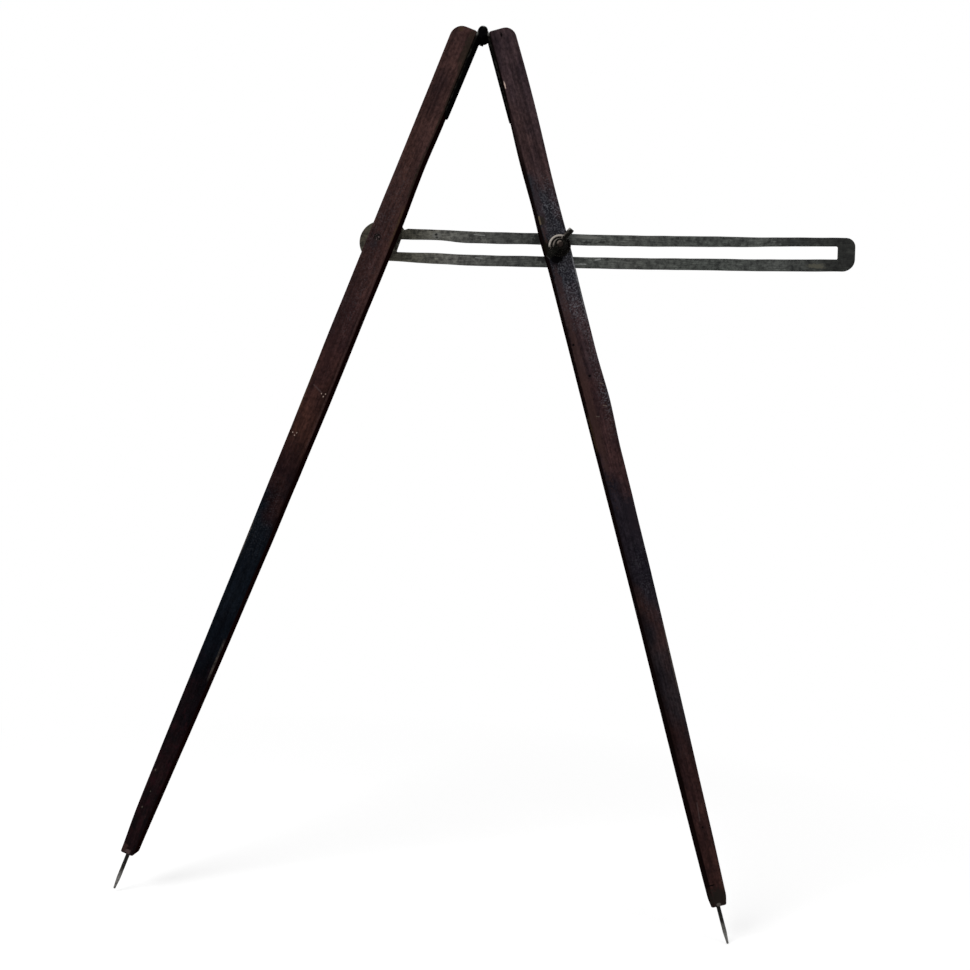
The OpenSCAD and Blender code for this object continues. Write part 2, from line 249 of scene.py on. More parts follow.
class Paint(Tree):
    """A material with one Principled shader, fed by chains of texture nodes."""

    def __init__(self, name):
        self.mat = bpy.data.materials.new(name)
        self.mat.use_nodes = True
        super().__init__(self.mat.node_tree)
        self.shader = self.tree.nodes["Principled BSDF"]

    def coat(self, colour, rough, relief, specular, metallic=0.0):
        """Feeds the shader: rough is a noise and its range, relief a height, depth and strength."""
        bump = self.node("Bump", zip(("Height", "Distance", "Strength"), relief))
        values = {"Base Color": colour, "Roughness": self.vary(*rough), "Normal": bump.outputs[0]}
        values.update({"Specular IOR Level": specular, "Metallic": metallic})
        for key, value in values.items():
            self.feed(self.shader.inputs[key], value)
        return self

    def place(self, turn=0.0, scale=(1, 1, 1), at=(0, 0, 0)):
        """The piece's own coordinates from a point, turned about Y and stretched."""
        where = self.node("TexCoord").outputs["Object"]
        moved = self.vector("SUBTRACT", where, at)
        turned = self.node("VectorRotate", {"Vector": moved, "Axis": (0, 1, 0), "Angle": turn})
        return self.vector("MULTIPLY", turned.outputs[0], scale)

    def noise(self, vector, scale, detail, roughness=0.55):
        inputs = {"Vector": vector, "Scale": scale, "Detail": detail, "Roughness": roughness}
        return self.node("TexNoise", inputs).outputs["Fac"]

    def band(self, value, low, high, soft):
        """1 between two values, with soft ends."""
        rise = self.range(value, low - soft, low + soft)
        fall = self.range(value, high - soft, high + soft, 1.0, 0.0)
        return self.times(rise, fall)

    def spot(self, where, centre, size, ragged):
        """1 round a place, 0 beyond a ragged border of the given half sizes."""
        moved = self.vector("SUBTRACT", where, centre)
        scaled = self.vector("MULTIPLY", moved, tuple(1 / s for s in size))
        far = self.vector("LENGTH", scaled)
        uneven = self.plus(far, self.vary(ragged, -0.35, 0.35))
        return self.range(uneven, 0.65, 1.05, 1.0, 0.0)

    def stroke(self, where, start, end, half, ragged):
        """1 along a scratch between two places, with a ragged border."""
        run = Vector(end) - Vector(start)
        moved = self.vector("SUBTRACT", where, start)
        flat = self.vector("MULTIPLY", moved, (1, 0.2, 1))
        along = self.vector("DOT_PRODUCT", flat, tuple(run))
        share = self.math("DIVIDE", along, run.length_squared, True)
        nearest = self.node("VectorMath", {0: tuple(run), "Scale": share}, operation="SCALE")
        off = self.vector("LENGTH", self.vector("SUBTRACT", flat, nearest.outputs[0]))
        uneven = self.plus(off, self.vary(ragged, -0.4 * half, 0.4 * half))
        return self.range(uneven, 0.6 * half, 1.2 * half, 1.0, 0.0)

    def ramp(self, value, stops):
        made = self.node("ValToRGB", {0: value})
        band = made.color_ramp
        while len(band.elements) < len(stops):
            band.elements.new(1.0)
        for element, (at, colour) in zip(band.elements, stops):
            element.position = at
            element.color = (*colour, 1.0)
        return made.outputs["Color"]

    def mix(self, factor, a, b, kind="MIX"):
        made = self.node("Mix", data_type="RGBA", blend_type=kind)
        for index, value in ((0, factor), (6, a), (7, b)):
            if isinstance(value, tuple):
                value = (*value, 1.0)
            self.feed(made.inputs[index], value)
        return made.outputs[2]

    def attribute(self, name):
        return self.node("Attribute", attribute_name=name).outputs["Fac"]


def wear(obj, slot, *paints):
    """Gives a modelled piece its materials; the slot argument is not used."""
    for paint in paints:
        obj.data.materials.append(paint.mat)


def repaint(obj, paint):
    """Gives a solid a material in place of the frame's plain one."""
    obj.data.materials.clear()
    obj.data.materials.append(paint.mat)


# Wear of the legs

# How one leg is stained and worn; the inner face has two dark tones of painted shade
LegLook = namedtuple(
    "LegLook", "tones lean marks scratches rubs dusts shades inner mottle inner_swells outer_swells",
)


def dents(marks, across, down):
    """How deep the knocks go at a place on a leg's front."""
    deep = 0.0
    for at_across, at_down, wide, high, full, _, _ in marks:
        far = hypot((across - at_across) / wide, (down - at_down) / high)
        deep += full * (1 - smoothstep(far, 0.7, 1.1))
    return deep


def stands_out(swells, down):
    """How far a long edge lies out from the straight line."""
    return sum(full * (1 - smoothstep(abs(down - at), 0.0, reach)) for at, reach, full in swells)


# Stain and wear colours of the wood
MAUVE = (0.0335, 0.0168, 0.0155)
WARM_MAUVE = (0.0385, 0.0188, 0.0165)
WALNUT = (0.0248, 0.011, 0.0108)
RUST = (0.031, 0.013, 0.01)
PURPLE_BLACK = (0.009, 0.0043, 0.0049)
BLUE_BLACK = (0.0029, 0.0043, 0.0068)
NIGHT = (0.0015, 0.0015, 0.0026)
LILAC = (0.0335, 0.021, 0.0235)
HEATHER = (0.0385, 0.0225, 0.0232)
GREY_BLUE = (0.0195, 0.019, 0.0235)
DUSK = (0.0112, 0.009, 0.0124)
UMBER = (0.0285, 0.0142, 0.0135)
TAN = (0.043, 0.0225, 0.0195)
COCOA = (0.031, 0.0152, 0.0155)
SMOKE = (0.0152, 0.0118, 0.014)
CLARET = (0.0195, 0.0092, 0.0092)
RED_BROWN = (0.0305, 0.0134, 0.0118)
LEFT_MOTTLE = ((0.003, 0.0029, 0.0035), (0.0175, 0.005, 0.0068))
RIGHT_MOTTLE = ((0.0165, 0.008, 0.0075), (0.0345, 0.0155, 0.0135))
# Painted shade of the legs' inner faces: a dark red tone and a near-black one
LEFT_INSIDE_SHADE = ((0.009, 0.0022, 0.0022), (0.0042, 0.0008, 0.0008))
RIGHT_INSIDE_SHADE = ((0.0055, 0.0022, 0.0019), (0.0026, 0.001, 0.0009))
DUST = (0.115, 0.115, 0.13)
ASH = (0.26, 0.26, 0.27)
CHIP = (0.7, 0.54, 0.46)
OCHRE = (0.06, 0.036, 0.02)
BEIGE = (0.13, 0.1, 0.065)
ROSE = (0.052, 0.029, 0.027)
PALE = (0.17, 0.14, 0.115)
BONE = (0.095, 0.084, 0.076)
PINK_BROWN = (0.07, 0.046, 0.045)
GREY_BROWN = (0.014, 0.0118, 0.01)
# Grime in dents and pits, also used for the painted shadow below the wing nut
GRIME_AND_SHADE = (0.0022, 0.0018, 0.0024)
OLIVE = (0.018, 0.015, 0.0105)
DARK_OLIVE = (0.008, 0.0062, 0.0036)
PORE = (0.003, 0.0022, 0.0022)

# Colours of the metals
DARK_IRON = (0.012, 0.0125, 0.012)
PIT_BLACK = (0.004, 0.004, 0.004)
PALE_IRON = (0.13, 0.13, 0.12)
BARE_IRON = (0.34, 0.35, 0.34)
EYE_BROWN = (0.011, 0.0085, 0.006)
END_TAN = (0.075, 0.072, 0.055)
BLACK_IRON = (0.0022, 0.0021, 0.0023)
BROWN_IRON = (0.008, 0.0075, 0.007)
LEAF_DARK = (0.004, 0.0036, 0.003)
LEAF_WORN = (0.013, 0.012, 0.0105)
CROWN_HIGHLIGHT = (0.2, 0.2, 0.2)
POINT_GRIT = (0.03, 0.026, 0.023)
RIVET_BLACK = (0.0015, 0.001, 0.001)
RIVET_BROWN = (0.018, 0.012, 0.0118)
RIVET_BARE = (0.105, 0.075, 0.073)
TIP_HIGHLIGHT = (0.36, 0.35, 0.32)

# Metals round the bolt: radius where the painted highlight on the rim begins, its colour, and the oily colour
NUT_LOOK = (0.005, (0.2, 0.175, 0.155), (0.0026, 0.0024, 0.0019))
BOLT_LOOK = (0.0012, (0.14, 0.115, 0.1), (0.013, 0.0095, 0.008))
WASHER_LOOK = (0.0086, (0.42, 0.38, 0.34), (0.0028, 0.0023, 0.002))

# Tones along the bar and along a point's free length
BAR_TONES = [
    (0.05, (0.046, 0.04, 0.03)), (0.12, (0.066, 0.063, 0.052)), (0.2, (0.076, 0.075, 0.071)),
    (0.29, (0.044, 0.045, 0.044)), (0.46, (0.062, 0.066, 0.064)), (0.56, (0.047, 0.049, 0.047)),
    (0.72, (0.043, 0.047, 0.045)), (0.83, (0.05, 0.053, 0.052)), (0.96, (0.015, 0.0155, 0.015)),
]
BAR_TONES_FROM = -0.03
POINT_TONES = [
    (0.0, (0.006, 0.0055, 0.005)), (0.38, (0.012, 0.011, 0.01)), (0.58, (0.06, 0.058, 0.053)),
    (0.8, (0.2, 0.195, 0.185)), (1.0, (0.075, 0.072, 0.068)),
]
POINT_TONES_L = 0.043

# Where the mottled stain begins and is full, down a leg, and the specks that lie everywhere
MOTTLE_FROM = 0.66
MOTTLE_FULL = 0.78
BASE_DUST = 0.03

# Out from the hinge axis: where dust begins and is full, and the same for dust in the outer half
DUST_IN = (INNER_FACE + 0.003, INNER_FACE + 0.01)
DUST_OUT = (INNER_FACE + 0.55 * LEG_W, INNER_FACE + 0.85 * LEG_W)

# How softly stretches of dust, painted shade and rubbing end, down a leg
DUST_SOFT = 0.02
SHADE_SOFT = 0.03
RUB_SOFT = 0.004

# How deep marks and stains reach into a piece from its front
MARK_DEPTH = 0.006
STAIN_DEPTH = 0.008

# Rubbed places of the hinge: from front to back, height, distance from the pin; and the painted highlight at the
# crown
HINGE_FRONT = (FRONT_Y + 0.0002, FRONT_Y + 0.0007)
HINGE_HIGH = (-0.0055, -0.0025)
HINGE_OFF_PIN = (0.0042, 0.0055)
CROWN_AT = (0.0008, FRONT_Y, 0.0046)
CROWN_SIZE = (0.002, MARK_DEPTH, 0.0012)

# Painted highlights round the bolt: the side that they face, up and left towards the light, how softly a rim
# begins, and where the highlight on a wing's tip begins, out from the bolt and to that side
LIT_SIDE = (-0.62, 0.0, 0.78)
RIM_SOFT = 0.0006
TIP_OUT = (0.0128, 0.015)
TIP_SIDE = (0.0046, 0.0058)


# Materials

def wood_tone(p, upright, out, down, look):
    """The stain's colour: it changes down the leg and a little across it."""
    across = p.times(p.math("SUBTRACT", out, INNER_FACE + LEG_W / 2), look.lean / LEG_W)
    drift = p.vary(p.noise(upright, 18, 3), -0.045, 0.045)
    share = p.plus(p.times(down, 1 / LEG_FOOT), drift)
    return p.ramp(p.plus(share, across), look.tones)


def wood_grain(p, side, colour):
    """Streaks and pores along the leg; gives the colour and the grain's height."""
    turn = side * HALF_SPREAD
    pores = p.noise(p.place(turn, (1500, 1500, 55)), 1, 3)
    streak = p.noise(p.place(turn, (380, 380, 13)), 1, 3, 0.6)
    patch = p.noise(p.place(turn, (70, 70, 30)), 1, 3)
    fine = p.noise(p.place(turn, (520, 520, 300)), 1, 2, 0.6)
    for value, low, high in (
        (streak, (0.68, 0.67, 0.67), (1.36, 1.35, 1.34)),
        (patch, (0.7, 0.72, 0.78), (1.33, 1.3, 1.25)),
        (fine, (0.68, 0.68, 0.69), (1.38, 1.38, 1.37)),
    ):
        colour = p.mix(1.0, colour, p.ramp(value, [(0.34, low), (0.66, high)]), "MULTIPLY")
    return p.mix(p.range(pores, 0.52, 0.68, 0.0, 0.2), colour, PORE), pores


def front_place(side, across, down):
    """A place on a leg's front in the upright coordinates of its material."""
    out = INNER_FACE + (across if side > 0 else LEG_W - across)
    return (side * out, FRONT_Y, -down)


def dusty(p, upright, out, down, colour, dusts):
    """Pale specks in the grain, thick in dusty stretches and away from the inner edge."""
    grains = p.noise(upright, 760, 2, 0.6)
    pale = p.range(grains, 0.51, 0.62)
    pits = p.range(grains, 0.38, 0.48, 0.55, 0.0)
    clouds = p.range(p.noise(upright, 110, 2), 0.38, 0.6, 0.45, 1.0)
    inward = p.range(out, *DUST_IN, 0.25, 1.0)
    outward = p.range(out, *DUST_OUT)
    flecks = p.times(p.times(pale, clouds), inward)
    share = BASE_DUST
    for start, end, amount, outer in dusts:
        stretch = p.times(p.band(down, start, end, DUST_SOFT), amount)
        if outer:
            stretch = p.times(stretch, outward)
        share = p.plus(share, stretch)
    colour = p.mix(p.times(pits, share, True), colour, GRIME_AND_SHADE)
    return p.mix(p.times(flecks, share, True), colour, DUST)


def mottled(p, side, down, colour, pair):
    """Dark and light blotches low on the leg, where the stain is worn."""
    blotch = p.noise(p.place(side * HALF_SPREAD, (170, 170, 80)), 1, 4, 0.65)
    low = p.range(down, MOTTLE_FROM, MOTTLE_FULL, 0.0, 0.8)
    dark = p.times(low, p.range(blotch, 0.36, 0.47, 1.0, 0.0))
    light = p.times(low, p.range(blotch, 0.53, 0.64))
    return p.mix(light, p.mix(dark, colour, pair[0]), pair[1])


def painted_inner_edge_shade(p, out, down, colour, look):
    """Painted shade on the front next to the inner edge, in the inner face's near-black tone."""
    for start, end, wide, share in look.shades:
        near = p.range(out, INNER_FACE + 0.7 * wide, INNER_FACE + 1.1 * wide, 1.0, 0.0)
        where = p.times(near, p.band(down, start, end, SHADE_SOFT))
        colour = p.mix(p.times(where, share), colour, look.inner[1])
    return colour


def rubbed(p, down, ragged, colour, rubs):
    """Edges worn to another colour; some stretches are partly a painted highlight."""
    for edge, start, end, tone, share in rubs:
        along = p.times(p.band(down, start, end, RUB_SOFT), p.attribute(edge))
        broken = p.times(along, p.range(ragged, 0.38, 0.58, 0.25, 1.0))
        colour = p.mix(p.times(broken, share, True), colour, tone)
    return colour


def knocked(p, side, upright, ragged, colour, look):
    """Coloured knocks, stains and scratches on the front."""
    for across, down, wide, high, _, tone, share in look.marks:
        centre = front_place(side, across, down)
        where = p.spot(upright, centre, (wide, MARK_DEPTH, high), ragged)
        colour = p.mix(p.times(where, share), colour, tone)
    for start, end, half, tone, share in look.scratches:
        ends = [front_place(side, *place) for place in (start, end)]
        where = p.stroke(upright, *ends, half, ragged)
        colour = p.mix(p.times(where, share), colour, tone)
    return colour


def wood_paint(name, side, look):
    """Dark stained wood with dust, rubbed edges and knocks, painted shade along the inner edge, and painted
    highlights.
    """
    p = Paint(name)
    upright = p.place(side * HALF_SPREAD)
    x, _, z = p.split(upright)
    out = p.times(x, side)
    down = p.times(z, -1.0)
    ragged = p.noise(upright, 330, 3)
    colour, pores = wood_grain(p, side, wood_tone(p, upright, out, down, look))
    colour = mottled(p, side, down, colour, look.mottle)
    colour = dusty(p, upright, out, down, colour, look.dusts)
    colour = painted_inner_edge_shade(p, out, down, colour, look)
    colour = rubbed(p, down, ragged, colour, look.rubs)
    # Painted shade: the inner face's dark red tone reaches over the rounded inner edges
    colour = p.mix(p.attribute("inner"), colour, look.inner[0])
    colour = knocked(p, side, upright, ragged, colour, look)
    return p.coat(colour, (pores, 0.58, 0.78), (pores, 0.0003, -0.3), specular=0.01)


def inner_shade_paint(name, look):
    """A leg's inner face: the same wood, near-black with painted shade."""
    p = Paint(name)
    red, black = look.inner
    patch = p.noise(p.place(0.0, (60, 160, 25)), 1, 4, 0.6)
    grit = p.noise(p.place(), 900, 2)
    colour = p.mix(p.range(patch, 0.35, 0.65), black, red)
    colour = p.mix(p.range(grit, 0.5, 0.7, 0.0, 0.5), colour, black)
    return p.coat(colour, (patch, 0.75, 0.9), (grit, 0.0002, 0.4), specular=0.0)


def bar_paint():
    """Scuffed grey iron, browner at the eye and darker at the far end."""
    p = Paint("bar_iron")
    flat = p.place(BAR_TURN, at=PIVOT)
    along = p.split(flat)[0]
    mottle = p.noise(flat, 210, 4, 0.65)
    streak = p.noise(p.place(BAR_TURN, (90, 400, 800), PIVOT), 1, 3, 0.6)
    pits = p.noise(flat, 620, 2)
    ragged = p.noise(flat, 420, 3)
    colour = p.ramp(p.range(along, BAR_TONES_FROM, BAR_END), BAR_TONES)
    for value, low, high in ((mottle, 0.42, 1.75), (streak, 0.62, 1.48)):
        shade = p.ramp(value, [(0.34, (low, low, low)), (0.66, (high, high, 0.97 * high))])
        colour = p.mix(1.0, colour, shade, "MULTIPLY")
    colour = p.mix(p.range(pits, 0.6, 0.7, 0.0, 0.7), colour, DARK_IRON)
    for at_x, at_z, wide, high, tone, share in BAR_STAINS:
        where = p.spot(flat, (at_x, BACK_Y, at_z), (wide, STAIN_DEPTH, high), ragged)
        colour = p.mix(p.times(where, share), colour, tone)
    for start, end, half, share in BAR_SCRATCHES:
        ends = [(at_x, BACK_Y, at_z) for at_x, at_z in (start, end)]
        where = p.stroke(flat, *ends, half, ragged)
        colour = p.mix(p.times(where, share), colour, BARE_IRON)
    relief = p.plus(p.times(mottle, 0.8), p.times(pits, -0.4))
    return p.coat(colour, (mottle, 0.55, 0.72), (relief, 0.0006, 0.5), specular=0.15, metallic=0.3)


def hinge_paint():
    """Black iron, rubbed grey on the leaves' front edges, with a painted highlight on the barrel's top."""
    p = Paint("black_iron")
    where = p.place()
    x, y, z = p.split(where)
    grit = p.noise(where, 900, 3)
    worn = p.noise(where, 260, 3)
    front = p.range(y, *HINGE_FRONT, 1.0, 0.0)
    high = p.range(z, *HINGE_HIGH)
    edge = p.times(front, p.range(worn, 0.35, 0.6, 0.35, 1.0))
    colour = p.mix(p.range(worn, 0.55, 0.75, 0.0, 0.5), BLACK_IRON, BROWN_IRON)
    leaf = p.times(edge, p.range(p.math("ABSOLUTE", x), *HINGE_OFF_PIN))
    colour = p.mix(leaf, colour, p.mix(p.range(worn, 0.45, 0.62), LEAF_DARK, LEAF_WORN))
    colour = p.mix(p.times(leaf, high), colour, PALE_IRON)
    # Painted highlight on top of the barrel's front end
    crown = p.spot(where, CROWN_AT, CROWN_SIZE, worn)
    colour = p.mix(p.times(crown, 0.9), colour, CROWN_HIGHLIGHT)
    return p.coat(colour, (grit, 0.6, 0.8), (grit, 0.0003, 0.4), specular=0.0)


def point_paint():
    """The points' steel: black at the foot, brighter towards the blunt tip."""
    p = Paint("point_steel")
    where = p.place()
    reach = p.vector("LENGTH", where)
    patch = p.noise(where, 240, 4, 0.6)
    grit = p.noise(where, 1400, 2)
    ragged = p.plus(reach, p.vary(patch, -0.007, 0.007))
    tone = p.ramp(p.range(ragged, LEG_FOOT, LEG_FOOT + POINT_TONES_L), POINT_TONES)
    colour = p.mix(p.range(grit, 0.55, 0.72, 0.0, 0.6), tone, POINT_GRIT)
    return p.coat(colour, (patch, 0.32, 0.55), (grit, 0.0002, 0.4), specular=0.08, metallic=0.5)


def rivet_paint():
    """The rivet's end and its ring: black in their pit, brown where they are rubbed."""
    p = Paint("rivet_steel")
    near = p.place(at=PIVOT)
    patch = p.noise(near, 900, 3)
    grit = p.noise(near, 620, 1)
    colour = p.mix(p.range(patch, 0.45, 0.6), RIVET_BLACK, RIVET_BROWN)
    colour = p.mix(p.range(grit, 0.56, 0.64), colour, RIVET_BARE)
    return p.coat(colour, (patch, 0.5, 0.75), (patch, 0.0003, 0.5), specular=0.05, metallic=0.2)


def clamp_paint(name, rim_from, light, dark, tip_light=0.0):
    """Oily aged metal round the bolt; painted highlights where the rim faces up and left, and at a wing tip."""
    p = Paint(name)
    near = p.place(at=CLAMP)
    flat = p.vector("MULTIPLY", near, (1, 0, 1))
    radius = p.vector("LENGTH", flat)
    aimed = p.vector("DOT_PRODUCT", flat, LIT_SIDE)
    facing = p.math("DIVIDE", aimed, p.math("MAXIMUM", radius, 0.0001))
    patch = p.noise(near, 420, 4, 0.6)
    grit = p.noise(near, 900, 2)
    uneven = p.plus(facing, p.vary(patch, -0.2, 0.2))
    # Painted highlights: the rim on the side facing up and left, and the wing tip on that side
    rim_highlight = p.times(p.range(radius, rim_from, rim_from + RIM_SOFT), p.range(uneven, 0.35, 0.65))
    tip_highlights = p.times(p.range(radius, *TIP_OUT), p.range(aimed, *TIP_SIDE))
    colour = p.mix(p.range(patch, 0.42, 0.62), dark, tuple(2.4 * c for c in dark))
    colour = p.mix(p.range(grit, 0.63, 0.7, 0.0, 0.5), colour, tuple(0.4 * c for c in light))
    colour = p.mix(rim_highlight, colour, light)
    colour = p.mix(p.times(tip_highlights, tip_light), colour, TIP_HIGHLIGHT)
    colour = p.mix(p.range(grit, 0.28, 0.42, 0.6, 0.0), colour, dark)
    return p.coat(colour, (patch, 0.45, 0.65), (grit, 0.0002, 0.4), specular=0.03, metallic=0.15)


# Shapes from rings of points

def join_rings(bm, rings, closed=False):
    """Joins rings of points into a skin, back to the first ring or with two end faces."""
    count = len(rings[0])
    for a, b in zip(rings, rings[1:] + rings[:1] if closed else rings[1:]):
        for k in range(count):
            n = (k + 1) % count
            bm.faces.new((a[k], a[n], b[n], b[k]))
    if not closed:
        bm.faces.new(rings[0])
        bm.faces.new(list(reversed(rings[-1])))


# Legs

def leg_point(side, out, down, y):
    """A place on a leg: out from the hinge axis, down the leg, and back along Y."""
    c, s = cos(HALF_SPREAD), sin(HALF_SPREAD)
    return Vector((side * (out * c + down * s), y, out * s - down * c))


def leg_coords(side, place):
    """How far out from the hinge axis and down a leg a place lies."""
    c, s = cos(HALF_SPREAD), sin(HALF_SPREAD)
    return side * place.x * c + place.z * s, side * place.x * s - place.z * c


def taper(down, full, foot):
    """A size of the leg, which falls in a straight line to the foot's in the lower half."""
    share = max(0.0, (down - TAPER_START) / (LEG_FOOT - TAPER_START))
    return full + (foot - full) * share


def corner_inset(down, corner_r):
    """How far the rounded outer corner at the top draws the edge in."""
    left = max(0.0, corner_r - (down - LEG_TOP))
    return corner_r - sqrt(corner_r ** 2 - left ** 2)


# Points round a leg's section, and rings over the roundings of its ends
ARC_STEPS = 4
FRONT_STEPS = 44
SIDE_STEPS = 8
END_STEPS = 5

# Distances between a leg's other rings: round the top corner, near a mark, and elsewhere
CORNER_REACH = LEG_TOP + LEFT_CORNER_R + 0.001
CORNER_STEP = 0.0006
MARK_REACH = 0.005
MARK_STEP = 0.0004
PLAIN_STEP = 0.003

# Roundings of the long edges as shares of EDGE_R, how far they wander, and the least
INNER_FRONT_WEAR = 1.35
INNER_BACK_WEAR = 1.7
OUTER_WEAR = 0.95
WEAR_WANDER = 0.35
LEAST_R = 0.0003

# Depths of the broad and the fine hollows in a face
BROAD_HOLLOW = 0.00012
FINE_HOLLOW = 0.00006

# How far a normal points forward, or inward, on the front and on the inner face
FRONT_FACING = -0.3
INNER_FACING = -0.85

# Shifts the noises of a leg, times its side
LEG_SEED = 3.7


def section(left, right, half_d, radii):
    """Points round a leg's section, as (across, y, normal across, normal y, corner number or None)."""
    centres = (
        (left, -half_d, -1, -1), (right, -half_d, 1, -1), (right, half_d, 1, 1), (left, half_d, -1, 1),
    )
    starts = (180, 270, 0, 90)
    corners = []
    for number, ((x, y, sx, sy), start, r) in enumerate(zip(centres, starts, radii)):
        arc = []
        for i in range(ARC_STEPS + 1):
            turn = radians(start + 90 * i / ARC_STEPS)
            c, s = cos(turn), sin(turn)
            arc.append((x - sx * r + r * c, y - sy * r + r * s, c, s, number))
        corners.append(arc)
    points = []
    for i, arc in enumerate(corners):
        points += arc
        a, b = arc[-1], corners[(i + 1) % 4][0]
        steps = FRONT_STEPS if i == 0 else SIDE_STEPS
        for k in range(1, steps):
            t = k / steps
            points.append((a[0] + (b[0] - a[0]) * t, a[1] + (b[1] - a[1]) * t, a[2], a[3], None))
    return points


def ring_places(fine):
    """Distances down the leg of the rings, closer round the fine places, with their inset."""
    turns = [radians(90 * i / END_STEPS) for i in range(END_STEPS + 1)]
    places = [(LEG_TOP + EDGE_R * (1 - cos(t)), EDGE_R * (1 - sin(t))) for t in turns[:-1]]
    down = LEG_TOP + EDGE_R
    while down < LEG_FOOT - EDGE_R:
        places.append((down, 0.0))
        if down < CORNER_REACH:
            down += CORNER_STEP
        elif min(abs(down - f) for f in fine) < MARK_REACH:
            down += MARK_STEP
        else:
            down += PLAIN_STEP
    foot = [(LEG_FOOT - EDGE_R * (1 - sin(t)), EDGE_R * (1 - cos(t))) for t in turns]
    return places + foot


def leg_radii(side, down, inset, seed):
    """Roundings of the four long edges: the inner ones are worn most."""
    inner_corners = (1, 2) if side < 0 else (0, 3)
    shares = dict(zip(inner_corners, (INNER_FRONT_WEAR, INNER_BACK_WEAR)))
    radii = []
    for corner in range(4):
        wander = noise.noise(Vector((down * 22, corner * 7.1, seed)))
        r = shares.get(corner, OUTER_WEAR) * EDGE_R
        radii.append(max(LEAST_R, r * (1 + WEAR_WANDER * wander) - inset * 0.5))
    return radii


def leg_edges(side, down, inset, look):
    """Where a leg's section begins and ends, measured across its front from the left."""
    foot_w = LEFT_FOOT_W if side < 0 else RIGHT_FOOT_W
    corner_r = LEFT_CORNER_R if side < 0 else RIGHT_CORNER_R
    width = taper(down, LEG_W, foot_w)
    inner = stands_out(look.inner_swells, down) - inset
    outer = stands_out(look.outer_swells, down) - inset - corner_inset(down, corner_r)
    return (-outer, width + inner) if side < 0 else (-inner, width + outer)


def unevenness(across, y, down, seed):
    """Hollows that plane and use have left in a face."""
    broad = BROAD_HOLLOW * (1 + noise.noise(Vector((across * 60, y * 60 + seed, down * 9))))
    return broad + FINE_HOLLOW * (1 + noise.noise(Vector((across * 300, y * 300, down * 40 + seed))))


def leg_ring(side, down, points, marks, kerf, slant, seed):
    """Places of one ring on a leg, with the dips of wear, knocks and the saw cut."""
    lower = slant * smoothstep(down, LEG_FOOT - SLANT_REACH, LEG_FOOT)
    places = []
    for across, y, nx, ny, _ in points:
        dip = unevenness(across, y, down, seed)
        if ny < FRONT_FACING:
            dip += dents(marks, across, down)
            if kerf and abs(down - kerf) < KERF_HALF and across < KERF_L:
                dip += KERF_DEEP
        out = INNER_FACE + (LEG_W - across if side < 0 else across) - nx * side * dip
        places.append(leg_point(side, out, down + lower * (y / FOOT_D + 0.5), y - ny * dip))
    return places


def make_leg(side, look, kerf=None, slant=0.0):
    """One leg's wood: a hand-planed stick with worn edges and knocks."""
    fine = [down for _, down, _, _, deep, _, _ in look.marks if deep > 0] + ([kerf] if kerf else [])
    inner_front = 1 if side < 0 else 0
    seed = LEG_SEED * side
    bm = bmesh.new()
    layers = {k: bm.verts.layers.float.new(k) for k in ("edge_in", "edge_out", "inner")}
    rings = []
    for down, inset in ring_places(fine):
        left, right = leg_edges(side, down, inset, look)
        half_d = taper(down, LEG_D, FOOT_D) / 2 - inset
        points = section(left, right, half_d, leg_radii(side, down, inset, seed))
        places = leg_ring(side, down, points, look.marks, kerf, slant, seed)
        rings.append([bm.verts.new(place) for place in places])
        for vert, (_, _, nx, _, corner) in zip(rings[-1], points):
            vert[layers["edge_in"]] = float(corner == inner_front)
            vert[layers["edge_out"]] = float(corner == 1 - inner_front)
            vert[layers["inner"]] = float(nx * side < INNER_FACING)
    join_rings(bm, rings)
    for face in bm.faces:
        face.material_index = int(all(v[layers["inner"]] > 0.5 for v in face.verts))
    return mesh_object("left_leg_wood" if side < 0 else "right_leg_wood", bm, 60)


# Slotted bar

def arc_points(cx, cy, r, start, end, steps):
    turns = [radians(start + (end - start) * i / steps) for i in range(steps + 1)]
    return [(cx + r * cos(t), cy + r * sin(t)) for t in turns]


def densify(points, step):
    """The closed outline with extra points, about a step apart."""
    out = []
    for (ax, ay), (bx, by) in zip(points, points[1:] + points[:1]):
        count = max(1, int(hypot(bx - ax, by - ay) / step))
        out += [(ax + (bx - ax) * i / count, ay + (by - ay) * i / count) for i in range(count)]
    return out


# The bar's bow: heights at places along it, as a long flat bar comes from the forge
BOW = ((-0.03, 0.0), (0.045, 0.0), (0.1, -0.0012), (0.24, -0.001), (0.36, 0.0002), (0.48, 0.002))


def bow(x):
    """How high the bar's bow lifts it at a place along it."""
    for (xa, ha), (xb, hb) in zip(BOW, BOW[1:]):
        if x <= xb:
            return ha + (hb - ha) * smoothstep(x, xa, xb)
    return BOW[-1][1]


def forged(points, seed, amount, pinch=0.0):
    """The outline with the bow, a narrower middle above, and uneven by hand work."""
    out = []
    for x, y in densify(points, OUTLINE_STEP):
        narrow = smoothstep(x, *PINCH_RISE) * (1 - smoothstep(x, *PINCH_FALL))
        drop = pinch * narrow if y > -BAR_DROP else 0.0
        out.append((x, y - drop + bow(x) + amount * noise.noise(Vector((x * 45, y * 20, seed)))))
    return out


